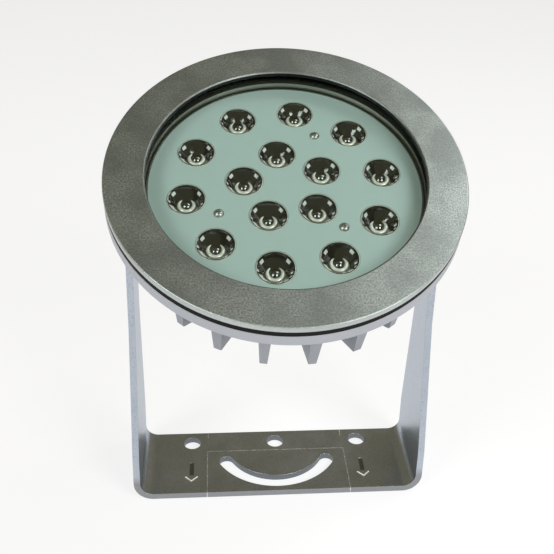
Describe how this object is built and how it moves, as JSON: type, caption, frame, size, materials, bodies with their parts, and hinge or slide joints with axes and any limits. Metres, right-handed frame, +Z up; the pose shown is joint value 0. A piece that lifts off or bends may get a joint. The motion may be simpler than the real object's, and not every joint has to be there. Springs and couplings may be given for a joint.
{
  "type": "underwater pond light",
  "caption": "Round submersible flood light with a finned housing, a clamped glass front and a lens panel, tilting in a folded U-shaped bracket with fixing holes and an arc slot.",
  "frame": {"origin": "middle of the underside of the bracket's base plate", "axes": "+Z up from the mounting surface, +X along the tilt axis to the right seen from the front, -Y to the side the lamp faces"},
  "size_m": [0.2, 0.1943, 0.2601],
  "materials": {
    "blasted_stainless": "bead-blasted, matt, fine grain",
    "satin_stainless": "satin, folded plate",
    "cast_aluminium": "light grey powder coat on a casting, satin",
    "clear_glass": "clear, slight green tint",
    "black_silicone": "matt black",
    "bright_stainless": "bright stainless steel",
    "nickelled_brass": "nickel plated, satin",
    "white_nylon": "natural nylon",
    "pale_painted_plate": "pale grey-green paint, satin",
    "clear_lens": "clear acrylic, polished",
    "dark_cup": "black moulding",
    "yellow_emitter": "phosphor under a clear dome",
    "white_board": "white solder mask on an aluminium core",
    "grey_pad": "soft thermal pad",
    "red_insulation": "insulated wire",
    "black_insulation": "insulated wire",
    "green_board": "solder mask",
    "black_can": "sleeved can",
    "dark_core": "wound core",
    "black_chip": "moulded package",
    "green_terminal": "moulded block"
  },
  "bodies": {
    "bracket": {"mounting_bracket": "satin_stainless", "pivot_bush_left": "white_nylon", "pivot_bush_right": "white_nylon"},
    "lamp": {"bezel_ring": "blasted_stainless", "finned_housing": "cast_aluminium", "rear_cover": "cast_aluminium", "front_glass": "clear_glass", "front_glass_seal": "black_silicone", "rear_glass_seal": "black_silicone", "flange_gasket": "black_silicone", "rear_cover_seal": "black_silicone", "gland_seal": "black_silicone", "gland_gasket": "black_silicone", "lead_grommet": "black_silicone", "bezel_screws": "bright_stainless", "rear_cover_screws": "bright_stainless", "panel_screws": "bright_stainless", "led_board_screws": "bright_stainless", "driver_screws": "bright_stainless", "pivot_bolts": "bright_stainless", "pivot_spring_washers": "bright_stainless", "pivot_flat_washers": "bright_stainless", "panel_standoffs": "nickelled_brass", "gland_body": "nickelled_brass", "gland_nut": "nickelled_brass", "terminal_screws": "nickelled_brass", "lens_panel": "pale_painted_plate", "lenses": "clear_lens", "lens_holders": "dark_cup", "led_emitters": "yellow_emitter", "led_board": "white_board", "thermal_pad": "grey_pad", "positive_lead": "red_insulation", "negative_lead": "black_insulation", "driver_board": "green_board", "driver_capacitors": "black_can", "driver_inductor": "dark_core", "driver_chips": "black_chip", "supply_terminal_block": "green_terminal"}
  },
  "joints": [
    {"name": "lamp_tilt", "type": "hinge", "parent": "bracket", "child": "lamp", "pos_m": [0, 0, 0.186], "axis": [1, 0, 0], "range_deg": [-116, 64]}
  ]
}
